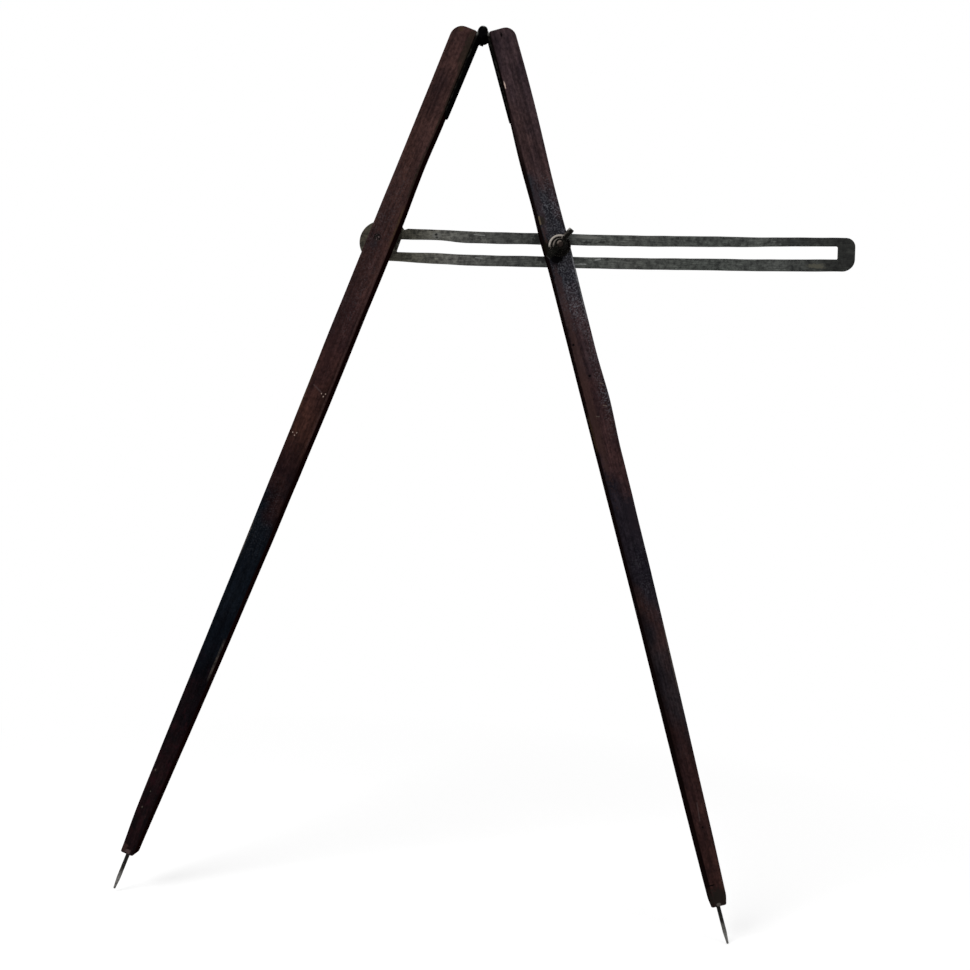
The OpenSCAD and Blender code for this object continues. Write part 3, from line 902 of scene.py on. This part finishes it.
def bar_outer():
    """The bar's outer outline: round the eye, along the lower edge, round the end and back."""
    near_top, near_low = BAR_W / 2 - BAR_DROP, -BAR_W / 2 - BAR_DROP
    far_top, far_low = FAR_UPPER - BAR_DROP, -FAR_LOWER - BAR_DROP
    neck = atan2(near_top, EYE_NECK) + acos(EYE_R / hypot(EYE_NECK, near_top))
    flat = 180 + degrees(asin(EYE_FLAT / EYE_R))
    outer = arc_points(0, 0, EYE_R, degrees(neck), flat, 44)
    outer += [(0, -EYE_FLAT), (2 * EYE_NECK, near_low), (BAR_END - FAR_FLAT, far_low)]
    outer += arc_points(BAR_END - END_LOWER_R, far_low + END_LOWER_R, END_LOWER_R, -90, 0, 10)
    outer += arc_points(BAR_END - END_UPPER_R, far_top - END_UPPER_R, END_UPPER_R, 0, 90, 10)
    return outer + [(BAR_END - FAR_FLAT, far_top)] + [
        (EYE_NECK + along, near_top + up * NECK_NICK) for along, up in NECK_STEP
    ]


def bar_slot():
    """The slot's outline; its near end slants."""
    high, low = SLOT_W / 2 - BAR_DROP, -SLOT_W / 2 - BAR_DROP
    near, far = SLOT_NEAR_R, SLOT_FAR_R
    inner = arc_points(SLOT_NEAR_HIGH + near, high - near, near, 90, 180, 8)
    inner += arc_points(SLOT_NEAR_LOW + near, low + near, near, 180, 270, 8)
    inner += arc_points(SLOT_END - far, low + far, far, 270, 360, 5)
    return inner + arc_points(SLOT_END - far, high - far, far, 0, 90, 5)


def make_bar():
    """The bar as a flat plate with softly rounded edges, cut from its two outlines."""
    thick = BAR_T - BAR_SLIP
    curve = bpy.data.curves.new("slotted_bar_iron", "CURVE")
    curve.dimensions = "2D"
    curve.fill_mode = "BOTH"
    curve.extrude = thick / 2 - BAR_EDGE_R
    curve.bevel_depth = BAR_EDGE_R
    curve.bevel_resolution = 2
    curve.offset = -BAR_EDGE_R
    outer = forged(bar_outer(), 1.3, OUTER_WANDER)
    slot = forged(bar_slot(), 5.9, SLOT_WANDER, SLOT_PINCH)
    for points in (outer, slot):
        spline = curve.splines.new("POLY")
        spline.points.add(len(points) - 1)
        spline.use_cyclic_u = True
        for target, (x, y) in zip(spline.points, points):
            target.co = (x, y, 0, 1)
    shape = link(bpy.data.objects.new("bar_shape", curve))
    mesh = evaluated_mesh(shape)
    bpy.data.objects.remove(shape)
    stand = Matrix.Translation(PIVOT + Vector((0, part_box("slotted_bar")[0].y + thick / 2, 0)))
    stand = stand @ Matrix.Rotation(-BAR_TURN, 4, "Y") @ Matrix.Rotation(radians(90), 4, "X")
    mesh.transform(stand)
    mesh.shade_smooth()
    mesh.set_sharp_from_angle(angle=radians(35))
    return link(bpy.data.objects.new("slotted_bar_iron", mesh))


# Wing nut and bolt

def on_clamp(y, turn):
    """Stands what is drawn along +Z on the clamp's axis, with its foot at y, turned about it."""
    stand = Matrix.Translation((CLAMP.x, y, CLAMP.z)) @ Matrix.Rotation(radians(90), 4, "X")
    return stand @ Matrix.Rotation(turn, 4, "Z")


# Wing nut: hub with a flange, and wings
NUT_FIT = 0.0001
HUB_H = 0.0095
HUB_LOW_R = 0.006
HUB_TOP_R = 0.0054
HUB_EDGE = 0.0006
FLANGE_R = 0.007
FLANGE_H = 0.002
FLANGE_EDGE = 0.0004
HUB_SIDES = 56
WING_TURN = radians(54)
WING_SPAN = 0.036
WING_RISE = 0.0055
WING_TIP_R = 0.0046
WING_HALF_T = 0.0028
WING_THINNING = 0.0002
WING_VOXEL = 0.00028
# Where a wing leaves the hub: out from the bolt, and up from the base or down from the hub's top
WING_FOOT = ((0.0036, 0.0026), (0.0066, 0.0027))
WING_NECK = ((0.0046, 0.0004), (0.0036, 0.0006))

# Bolt: thread, shank and square head; rings lie close as far as THREAD_RINGS_L
BOLT_R = 0.0031
BOLT_SIDES = 40
BOLT_PITCH = 0.00127
THREAD_DEEP = 0.0007
THREAD_L = 0.0138
THREAD_LEAD = 0.0009
THREAD_RINGS_L = 0.014
PITCH_RINGS = 8
SHANK_RINGS = (0.015, 0.025)
HEAD_H = 0.0045
HEAD_HALF = 0.0055
HEAD_BEVEL = 0.0011
HEAD_TURN = 0.3


def wing_outline():
    """One wing in its own plane: out from the bolt, and up from the nut's base."""
    tip_x = WING_SPAN / 2 - WING_TIP_R
    tip_y = HUB_H + WING_RISE - WING_TIP_R
    tip = arc_points(tip_x, tip_y, WING_TIP_R, -48, 150, 18)
    return [*WING_FOOT, *tip, *((out, HUB_H - below) for out, below in WING_NECK)]


def add_wing(bm, turn):
    spin = Matrix.Rotation(turn, 3, "Z")
    sides = []
    for sign in (-1, 1):
        row = []
        for x, z in wing_outline():
            thick = WING_HALF_T - WING_THINNING * min(1.0, x / (WING_SPAN / 2))
            row.append(bm.verts.new(spin @ Vector((x, sign * thick, z))))
        sides.append(row)
    join_rings(bm, sides)


def make_wing_nut():
    """A cast wing nut: hub with a flange, and two wings that thin outwards."""
    bm = bmesh.new()
    bore = BOLT_R + NUT_FIT
    hub = [
        (bore, 0.0), (FLANGE_R - FLANGE_EDGE, 0.0), (FLANGE_R, FLANGE_EDGE), (FLANGE_R, FLANGE_H),
        (FLANGE_R - HUB_EDGE, FLANGE_H + HUB_EDGE), (HUB_LOW_R, FLANGE_H + 2 * HUB_EDGE),
        (HUB_TOP_R, HUB_H - HUB_EDGE), (HUB_TOP_R - HUB_EDGE, HUB_H), (bore, HUB_H),
    ]
    turns = [2 * pi * i / HUB_SIDES for i in range(HUB_SIDES)]
    rings = [[bm.verts.new((r * cos(t), r * sin(t), h)) for r, h in hub] for t in turns]
    join_rings(bm, rings, closed=True)
    for turn in (0, pi):
        add_wing(bm, turn)
    obj = mesh_object("wing_nut_cast", bm)
    remesh = obj.modifiers.new("remesh", "REMESH")
    remesh.mode = "VOXEL"
    remesh.voxel_size = WING_VOXEL
    remesh.use_smooth_shade = True
    smooth = obj.modifiers.new("smooth", "SMOOTH")
    smooth.factor = 0.5
    smooth.iterations = 5
    mesh = evaluated_mesh(obj)
    obj.modifiers.clear()
    obj.data = mesh
    obj.data.transform(on_clamp(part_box("wing_nut")[1].y, WING_TURN))
    obj.data.shade_smooth()
    return obj


def thread_ring(bm, height):
    """One ring of the bolt at a depth from its end, cut by the thread."""
    ring = []
    for k in range(BOLT_SIDES):
        phase = (height / BOLT_PITCH - k / BOLT_SIDES) % 1.0
        cut = THREAD_DEEP * abs(2 * phase - 1) if height < THREAD_L else 0.0
        lead = max(0.0, THREAD_LEAD - height)
        turn = 2 * pi * k / BOLT_SIDES
        r = BOLT_R - cut - lead
        ring.append(bm.verts.new((r * cos(turn), r * sin(turn), -height)))
    return ring


def add_square_head(bm, shank):
    """A square block under the shank, with its far edges broken."""
    middle = -shank - HEAD_H / 2
    verts = bmesh.ops.create_cube(bm, size=1.0)["verts"]
    for v in verts:
        v.co = Vector((v.co.x * 2 * HEAD_HALF, v.co.y * 2 * HEAD_HALF, v.co.z * HEAD_H + middle))
    far = [v for v in verts if v.co.z < middle]
    edges = {e for v in verts for e in v.link_edges}
    top = [e for e in edges if all(v in far for v in e.verts)]
    bmesh.ops.bevel(bm, geom=top, offset=HEAD_BEVEL, segments=3, affect="EDGES", profile=0.6)


def make_bolt():
    """The bolt, with a real thread in the nut and a square head behind."""
    low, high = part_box("clamp_bolt")
    shank = high.y - low.y - HEAD_H
    step = BOLT_PITCH / PITCH_RINGS
    heights = [i * step for i in range(int(THREAD_RINGS_L / step))]
    bm = bmesh.new()
    join_rings(bm, [thread_ring(bm, height) for height in (*heights, *SHANK_RINGS, shank)])
    add_square_head(bm, shank)
    obj = mesh_object("clamp_bolt_threaded", bm, 35)
    obj.data.transform(on_clamp(low.y, HEAD_TURN))
    return obj


# Stage

def seen_directly(t):
    """1 for rays from the camera, or from metal or glass that shows the background."""
    path = t.node("LightPath").outputs
    mirrored = t.math("MAXIMUM", path["Is Glossy Ray"], path["Is Transmission Ray"])
    return t.math("MAXIMUM", path["Is Camera Ray"], mirrored)


def floor_paper():
    """White paper: it keeps the object's shadow close by, and is seen plain white beyond."""
    p = Paint("floor_paper")
    p.tree.nodes.remove(p.shader)
    seen = seen_directly(p)
    paper = p.node("BsdfDiffuse", {"Color": FLOOR_TONE}).outputs[0]
    glow = p.node("Emission", {"Strength": p.times(seen, FLOOR_LIFT)}).outputs[0]
    lifted = p.node("AddShader", {0: paper, 1: glow}).outputs[0]
    white = p.node("Emission").outputs[0]
    far = p.vector("LENGTH", p.node("TexCoord").outputs["Object"])
    beyond = p.times(seen, p.range(far, SHADOW_KEPT, SHADOW_GONE))
    blend = p.node("MixShader", {0: beyond, 1: lifted, 2: white})
    p.feed(p.tree.nodes["Material Output"].inputs["Surface"], blend.outputs[0])
    return p.mat


def make_floor():
    bm = bmesh.new()
    bmesh.ops.create_grid(bm, x_segments=1, y_segments=1, size=FLOOR_HALF)
    floor = mesh_object("floor", bm)
    floor.location.z = cad_box[0][2]
    floor.data.materials.append(floor_paper())


def make_world():
    """A white studio that lights matt surfaces at the ambient level."""
    world = bpy.data.worlds.new("studio")
    bpy.context.scene.world = world
    world.use_nodes = True
    t = Tree(world.node_tree)
    back = t.tree.nodes["Background"].inputs
    t.feed(back["Color"], (1, 1, 1, 1))
    t.feed(back["Strength"], t.range(seen_directly(t), 0.0, 1.0, AMBIENT, 1.0))


def aim(obj, at, target, roll=0.0):
    """Places a lamp or camera so that it looks at a point."""
    turn = (target - at).to_track_quat("-Z", "Y").to_matrix().to_4x4()
    obj.matrix_world = Matrix.Translation(at) @ turn @ Matrix.Rotation(roll, 4, "Z")


def make_lamp(name, at, size, watts):
    data = bpy.data.lights.new(name, "AREA")
    data.shape = "DISK"
    data.size = size
    data.energy = watts
    lamp = link(bpy.data.objects.new(name, data))
    aim(lamp, at, LAMP_AIM)


def make_camera():
    data = bpy.data.cameras.new("photo_camera")
    data.sensor_fit = "HORIZONTAL"
    data.sensor_width = SENSOR_W
    data.lens = SENSOR_W * FOCAL_PX / IMAGE_SIDE
    data.clip_end = 100.0
    camera = link(bpy.data.objects.new("photo_camera", data))
    aim(camera, CAMERA_AT, CAMERA_AIM, CAMERA_ROLL)
    bpy.context.scene.camera = camera


make_camera()
make_world()
make_floor()
for lamp in LAMPS:
    make_lamp(*lamp)
bpy.context.scene.view_settings.view_transform = "Standard"

# Stain down each leg, as shares of its length
LEFT_TONES = [
    (0.0, MAUVE), (0.11, MAUVE), (0.17, WARM_MAUVE), (0.24, MAUVE), (0.36, WALNUT), (0.5, RUST),
    (0.58, PURPLE_BLACK), (0.605, BLUE_BLACK), (0.71, BLUE_BLACK), (0.77, NIGHT),
    (0.88, PURPLE_BLACK), (1.0, PURPLE_BLACK),
]
RIGHT_TONES = [
    (0.0, LILAC), (0.06, LILAC), (0.11, HEATHER), (0.14, HEATHER), (0.165, LILAC),
    (0.19, GREY_BLUE), (0.29, GREY_BLUE), (0.33, LILAC), (0.42, COCOA), (0.49, COCOA), (0.55, DUSK),
    (0.61, DUSK), (0.66, UMBER), (0.71, SMOKE), (0.79, SMOKE), (0.84, CLARET),
    (0.89, CLARET), (0.95, RED_BROWN), (1.0, RED_BROWN),
]

rivet_out, RIVET_DOWN = leg_coords(-1, PIVOT)
RIVET_ACROSS = LEG_W - (rivet_out - INNER_FACE)


def specks(across, down, colour, share):
    """A few tiny bright chips close together."""
    half, deep = 0.0006, 0.0002
    places = ((0.0, 0.0), (0.0028, 0.0022), (0.004, -0.0009))
    return [(across + a, down + d, half, 1.4 * half, deep, colour, share) for a, d in places]


# Knocks and stains on the fronts: place across and down, half sizes, depth, colour and strength
LEFT_MARKS = [
    (RIVET_ACROSS, RIVET_DOWN, 0.0034, 0.0034, 0.0018, GRIME_AND_SHADE, 0.95),
    (RIVET_ACROSS - 0.001, RIVET_DOWN + 0.0075, 0.0045, 0.005, 0, GREY_BLUE, 0.4),
    (0.0215, 0.022, 0.0045, 0.026, 0, OLIVE, 0.6),
    (0.006, 0.305, 0.006, 0.09, 0, CLARET, 0.4),
    (0.0085, 0.006, 0.003, 0.0026, 0, OCHRE, 0.5),
    (0.007, 0.829, 0.0008, 0.0011, 0.0004, PALE, 0.4),
    (0.0052, 0.847, 0.0008, 0.0011, 0.0004, PALE, 0.4),
    (0.0036, 0.8068, 0.0008, 0.0012, 0.0003, PALE, 0.4),
    (0.0042, 0.8925, 0.0034, 0.0052, 0, ROSE, 0.6),
    (0.0085, 0.895, 0.0032, 0.0027, 0.0005, PINK_BROWN, 1.0),
    *specks(0.0162, 0.3918, CHIP, 0.45),
    *specks(0.004, 0.4384, CHIP, 0.4),
]
RIGHT_MARKS = [
    (0.0025, 0.0573, 0.0007, 0.0048, 0.0008, CHIP, 0.8),
    (0.0115, 0.0088, 0.001, 0.0022, 0.0014, GRIME_AND_SHADE, 0.95),
    (0.0229, 0.02, 0.0007, 0.0012, 0, PALE, 0.15),
    (0.0055, 0.185, 0.004, 0.03, 0, LILAC, 0.5),
    (0.006, 0.27, 0.004, 0.034, 0, HEATHER, 0.6),
    (0.006, 0.372, 0.0046, 0.105, 0, TAN, 0.55),
    (0.0041, 0.2226, 0.0042, 0.009, 0, DARK_OLIVE, 0.85),
    # Painted shadow below the wing nut
    (0.0096, 0.2345, 0.0078, 0.0078, 0, GRIME_AND_SHADE, 1.0),
    (0.0052, 0.1955, 0.0024, 0.0048, 0, OLIVE, 0.7),
    (0.0043, 0.3225, 0.0015, 0.0014, 0.0005, GRIME_AND_SHADE, 0.95),
    (0.0126, 0.3561, 0.0016, 0.0014, 0.0005, GRIME_AND_SHADE, 0.95),
    (0.003, KERF_DOWN, KERF_L - 0.002, 0.0007, 0, GRIME_AND_SHADE, 1.0),
    (0.008, 0.889, 0.011, 0.011, 0, GREY_BROWN, 0.85),
    (0.0064, 0.896, 0.0023, 0.0025, 0.0004, BONE, 0.9),
    (0.0097, 0.8172, 0.001, 0.0013, 0.0004, GRIME_AND_SHADE, 0.9),
    (0.0195, 0.5, 0.0075, 0.024, 0, DUSK, 0.8),
]
# Scratches on the fronts: both ends across and down, half width, colour and strength
LEFT_SCRATCHES = [((0.006, 0.3866), (0.016, 0.3908), 0.0007, PINK_BROWN, 0.55)]
RIGHT_SCRATCHES = [
    ((0.0027, 0.1915), (0.0026, 0.199), 0.0009, BEIGE, 0.7),
    ((0.0103, 0.7922), (0.0087, 0.8103), 0.0006, PINK_BROWN, 0.6),
    ((0.0032, 0.203), (0.0042, 0.218), 0.001, ROSE, 0.5),
    ((0.0205, 0.3655), (0.0235, 0.3672), 0.0005, PALE, 0.5),
    ((0.018, 0.3875), (0.0212, 0.3889), 0.0005, PALE, 0.5),
    ((0.0088, 0.3965), (0.0115, 0.3975), 0.0005, PALE, 0.3),
]
# Front edges rubbed by handling, some also a painted highlight: edge, start and end, colour and strength
LEFT_RUBS = [
    # The inner front edge: partly rubbed, partly a painted highlight where it catches the light
    ("edge_in", 0.19, 0.232, OCHRE, 0.8),
    ("edge_in", 0.232, 0.45, ROSE, 0.6),
    ("edge_in", 0.02, 0.18, OLIVE, 0.8),
    ("edge_out", 0.365, 0.415, OCHRE, 0.6),
    ("edge_out", 0.535, 0.57, PALE, 0.45),
    ("edge_in", 0.66, 0.7, PALE, 0.3),
]
RIGHT_RUBS = [
    ("edge_in", 0.395, 0.43, OCHRE, 0.5),
    ("edge_out", 0.239, 0.26, ASH, 0.75),
    ("edge_out", 0.26, 0.3, ASH, 0.3),
    ("edge_out", 0.61, 0.68, PALE, 0.3),
]
# Pale specks in the grain: start and end, strength, and whether only in the outer half
LEFT_DUST = [(0.16, 0.33, 0.15, False), (0.5, 0.56, 0.12, False)]
RIGHT_DUST = [(0.165, 0.3, 0.72, False), (0.29, 0.41, 0.55, True), (0.54, 0.6, 0.15, False)]
# Painted shade next to the right leg's inner edge: start and end, width and strength
RIGHT_SHADES = [
    (0.005, 0.1, 0.0019, 0.95), (0.11, 0.9, 0.0024, 0.95), (0.54, 0.76, 0.0055, 0.55),
]

# Where the long edges leave the straight line: place and reach down the leg, and how far
LEFT_INNER = [
    (0.145, 0.06, -0.0011), (0.23, 0.09, 0.0003), (0.475, 0.09, -0.0009), (0.72, 0.18, 0.0005),
]
LEFT_OUTER = [
    (0.21, 0.09, 0.0004), (0.32, 0.12, 0.0006), (0.8, 0.22, 0.0004), (0.898, 0.05, -0.0015),
]
RIGHT_INNER = [
    (0.13, 0.075, 0.0012), (0.208, 0.04, 0.0009), (0.44, 0.4, 0.0004), (0.69, 0.15, 0.0008),
    (0.85, 0.22, 0.0019),
]
RIGHT_OUTER = [
    (0.075, 0.13, 0.0022), (0.225, 0.085, 0.0013), (0.31, 0.06, 0.0006), (0.382, 0.055, 0.0018),
    (0.5, 0.06, -0.0003), (0.57, 0.1, 0.0003), (0.68, 0.13, 0.0005), (0.898, 0.08, -0.0007),
    (0.9, 0.013, -0.002),
]

LEFT_LOOK = LegLook(
    LEFT_TONES, 0.0, LEFT_MARKS, LEFT_SCRATCHES, LEFT_RUBS, LEFT_DUST, [],
    LEFT_INSIDE_SHADE, LEFT_MOTTLE, LEFT_INNER, LEFT_OUTER,
)
RIGHT_LOOK = LegLook(
    RIGHT_TONES, -0.06, RIGHT_MARKS, RIGHT_SCRATCHES, RIGHT_RUBS, RIGHT_DUST, RIGHT_SHADES,
    RIGHT_INSIDE_SHADE, RIGHT_MOTTLE, RIGHT_INNER, RIGHT_OUTER,
)

# Stains, pits and darker places on the bar: place along and above the pivot, half sizes, colour and strength
BAR_STAINS = (
    # Darker brown next to the left leg's edge, at the eye
    (0.012, 0.006, 0.0105, 0.015, EYE_BROWN, 0.85),
    (0.057, 0.0075, 0.0046, 0.004, PALE_IRON, 0.7),
    (0.0563, 0.0089, 0.0016, 0.0013, PIT_BLACK, 0.95),
    (0.0571, 0.0058, 0.0015, 0.0012, PIT_BLACK, 0.8),
    (0.051, 0.0133, 0.002, 0.0013, PIT_BLACK, 0.7),
    # Darker next to the right leg's left edge, on both rails
    (0.161, 0.0065, 0.0075, 0.006, DARK_IRON, 0.85),
    (0.1665, -0.0126, 0.0085, 0.006, DARK_IRON, 0.85),
    (0.2082, 0.004, 0.0055, 0.0013, DARK_IRON, 0.85),
    (0.2248, 0.0043, 0.0038, 0.0012, DARK_IRON, 0.85),
    (0.21, 0.0092, 0.014, 0.0016, PALE_IRON, 0.85),
    (0.418, 0.0088, 0.026, 0.009, DARK_IRON, 0.5),
    (0.439, -0.015, 0.01, 0.003, END_TAN, 0.85),
)
# Scratches on the bar: both ends, half width and strength
BAR_SCRATCHES = (
    ((0.1985, -0.0182), (0.2085, -0.0179), 0.0007, 0.75),
    ((0.218, -0.0135), (0.223, -0.0125), 0.0007, 0.55),
    ((0.095, 0.0096), (0.106, 0.009), 0.0004, 0.45),
    ((0.097, -0.0136), (0.104, -0.0142), 0.0004, 0.45),
)

# The modelled pieces, which take the place of their solids

left_leg = make_leg(-1, LEFT_LOOK, slant=LEFT_SLANT)
left_paints = (wood_paint("left_wood", -1, LEFT_LOOK), inner_shade_paint("left_inner_shade", LEFT_LOOK))
wear(left_leg, "leg_wood", *left_paints)
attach(left_leg, "left_leg")
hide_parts("left_leg")

right_leg = make_leg(1, RIGHT_LOOK, kerf=KERF_DOWN)
right_paints = (wood_paint("right_wood", 1, RIGHT_LOOK), inner_shade_paint("right_inner_shade", RIGHT_LOOK))
wear(right_leg, "leg_wood", *right_paints)
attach(right_leg, "right_leg")
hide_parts("right_leg")

bar_iron = bar_paint()
bar = make_bar()
wear(bar, "bar_iron", bar_iron)
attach(bar, "bar")
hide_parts("slotted_bar")

nut = make_wing_nut()
wear(nut, "clamp_steel", clamp_paint("nut_metal", *NUT_LOOK, tip_light=0.8))
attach(nut, "wing_nut")
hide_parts("wing_nut")

bolt = make_bolt()
wear(bolt, "clamp_steel", clamp_paint("bolt_metal", *BOLT_LOOK))
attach(bolt, "right_leg")
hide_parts("clamp_bolt")

# The other solids, with materials and softened edges where they show

hinge_iron = hinge_paint()
for node in ("left_hinge_leaf", "right_hinge_leaf"):
    repaint(soften(node, width=0.0004), hinge_iron)
for node in ("hinge_pin", "left_leaf_screws", "right_leaf_screws"):
    repaint(nodes[node], hinge_iron)
rivet_steel = rivet_paint()
repaint(nodes["pivot_rivet"], rivet_steel)
repaint(soften("pivot_burr", width=0.00015), rivet_steel)
for node in ("pivot_back_washer", "clamp_back_washer"):
    repaint(soften(node, width=0.0003), bar_iron)
repaint(soften("clamp_front_washer", width=0.0005), clamp_paint("washer_metal", *WASHER_LOOK))
point_steel = point_paint()
for node in ("left_point", "right_point"):
    repaint(nodes[node], point_steel)
